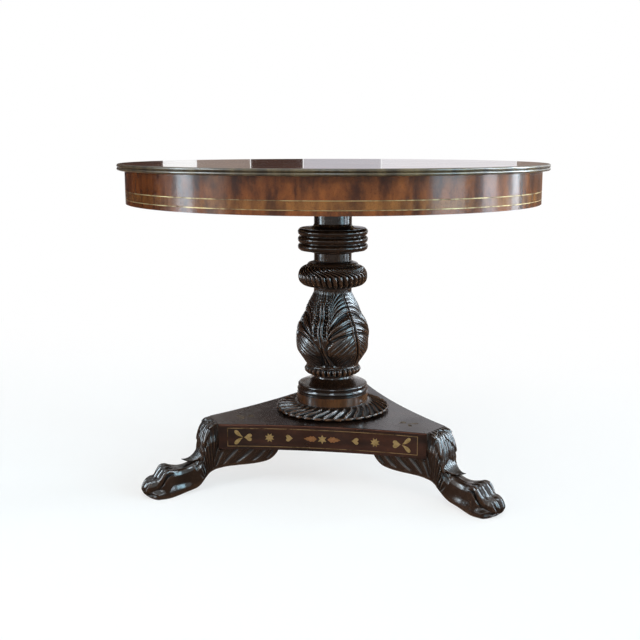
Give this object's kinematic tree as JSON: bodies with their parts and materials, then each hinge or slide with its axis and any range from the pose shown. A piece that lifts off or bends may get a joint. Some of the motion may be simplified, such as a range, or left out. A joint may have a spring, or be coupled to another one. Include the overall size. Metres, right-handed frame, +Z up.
{
  "type": "pedestal centre table",
  "caption": "Round tilt-top pedestal table with a veneered frieze, carved baluster column and concave three-sided plinth on lion paw feet.",
  "frame": {"origin": "on the floor, on the axis of the column", "axes": "+Z up; the front of the plinth faces -Y; one leg points along +Y, behind; +X is to the right seen from the front"},
  "size_m": [0.97, 0.97, 0.741],
  "materials": {
    "core_softwood": "raw, planed",
    "top_mahogany": "french polished",
    "frieze_mahogany": "french polished, figured",
    "edge_moulding_wood": "worn bronzed polish",
    "bearer_mahogany": "oiled",
    "block_wood": "stained",
    "carved_wood": "dark polish, glossy, worn on the edges",
    "turned_wood": "dark polish, worn brown on the drum",
    "plinth_rosewood": "french polished",
    "inlay_brass": "satin, flush",
    "inlay_copper": "satin, flush",
    "line_brass": "dull, flush",
    "hardware_brass": "aged",
    "hardware_steel": "dull"
  },
  "bodies": {
    "root": {"block": "block_wood", "block_wedge": "bearer_mahogany", "left_keeper": "hardware_brass", "right_keeper": "hardware_brass", "keeper_screws": "hardware_brass", "ring_collar": "carved_wood", "gadroon_collar": "carved_wood", "baluster": "carved_wood", "bead_ring": "carved_wood", "turned_base": "turned_wood", "petal_boss": "carved_wood", "plinth_core": "core_softwood", "plinth_wedge": "bearer_mahogany", "plinth_top_veneer": "plinth_rosewood", "plinth_front_veneer": "plinth_rosewood", "plinth_right_veneer": "plinth_rosewood", "plinth_left_veneer": "plinth_rosewood", "brass_borders": "inlay_brass", "brass_stars": "inlay_brass", "brass_hearts": "inlay_brass", "brass_drops": "inlay_brass", "brass_leaves": "inlay_copper", "brass_corner_hearts": "inlay_brass", "left_leg": "carved_wood", "right_leg": "carved_wood", "back_leg": "carved_wood", "leg_dowels": "core_softwood", "leg_screws": "hardware_steel"},
    "top": {"top_board": "core_softwood", "top_veneer": "top_mahogany", "edge_moulding": "edge_moulding_wood", "frieze_upper_course": "core_softwood", "frieze_lower_course": "core_softwood", "frieze_veneer": "frieze_mahogany", "frieze_brass_lines": "line_brass", "glue_block_ring": "core_softwood", "left_bearer": "bearer_mahogany", "right_bearer": "bearer_mahogany", "bearer_screws": "hardware_steel", "left_pivot_pin": "hardware_steel", "right_pivot_pin": "hardware_steel", "left_bolt_plate": "hardware_brass", "right_bolt_plate": "hardware_brass", "bolt_plate_screws": "hardware_brass"},
    "left_bolt": {"left_bolt": "hardware_brass"},
    "right_bolt": {"right_bolt": "hardware_brass"}
  },
  "joints": [
    {"name": "top_tilt", "type": "hinge", "parent": "root", "child": "top", "pos_m": [0, -0.148, 0.6977], "axis": [1, 0, 0], "range_deg": [0, 90]},
    {"name": "left_bolt_slide", "type": "slide", "parent": "top", "child": "left_bolt", "axis": [0, -1, 0], "range_m": [0, 0.012]},
    {"name": "right_bolt_slide", "type": "slide", "parent": "top", "child": "right_bolt", "axis": [0, -1, 0], "range_m": [0, 0.012]}
  ]
}
